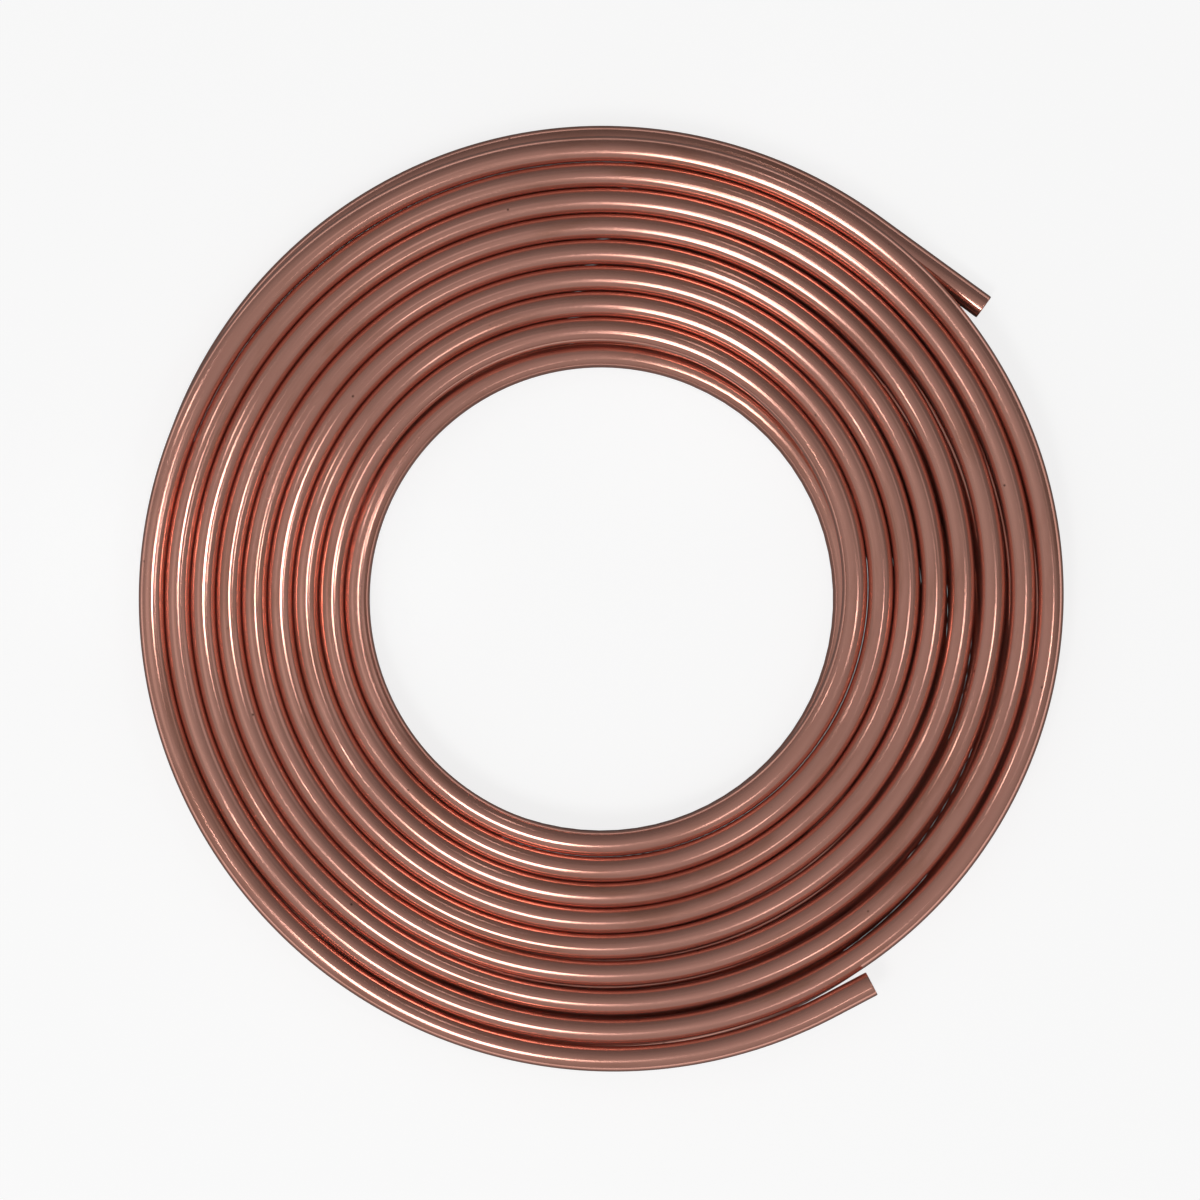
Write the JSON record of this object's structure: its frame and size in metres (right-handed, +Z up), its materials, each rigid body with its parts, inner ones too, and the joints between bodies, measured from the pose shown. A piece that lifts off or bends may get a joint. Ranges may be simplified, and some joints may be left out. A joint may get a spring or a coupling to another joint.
{
  "type": "copper tube coil",
  "caption": "Flat pancake coil of soft copper tube, close turns stacked in layers round an open eye, both plain cut ends left on the outside; raw stock to uncoil, cut, bend and join.",
  "frame": {"origin": "on the axis of the eye, at the floor that the coil lies on", "axes": "+Z up along the axis of the eye, +X towards the side where the free ends point, +Y towards the lower layer's free end"},
  "size_m": [0.466, 0.4773, 0.0257],
  "materials": {
    "copper": "bright drawn and annealed copper"
  },
  "bodies": {
    "root": {"copper_tube": "copper"}
  },
  "joints": []
}
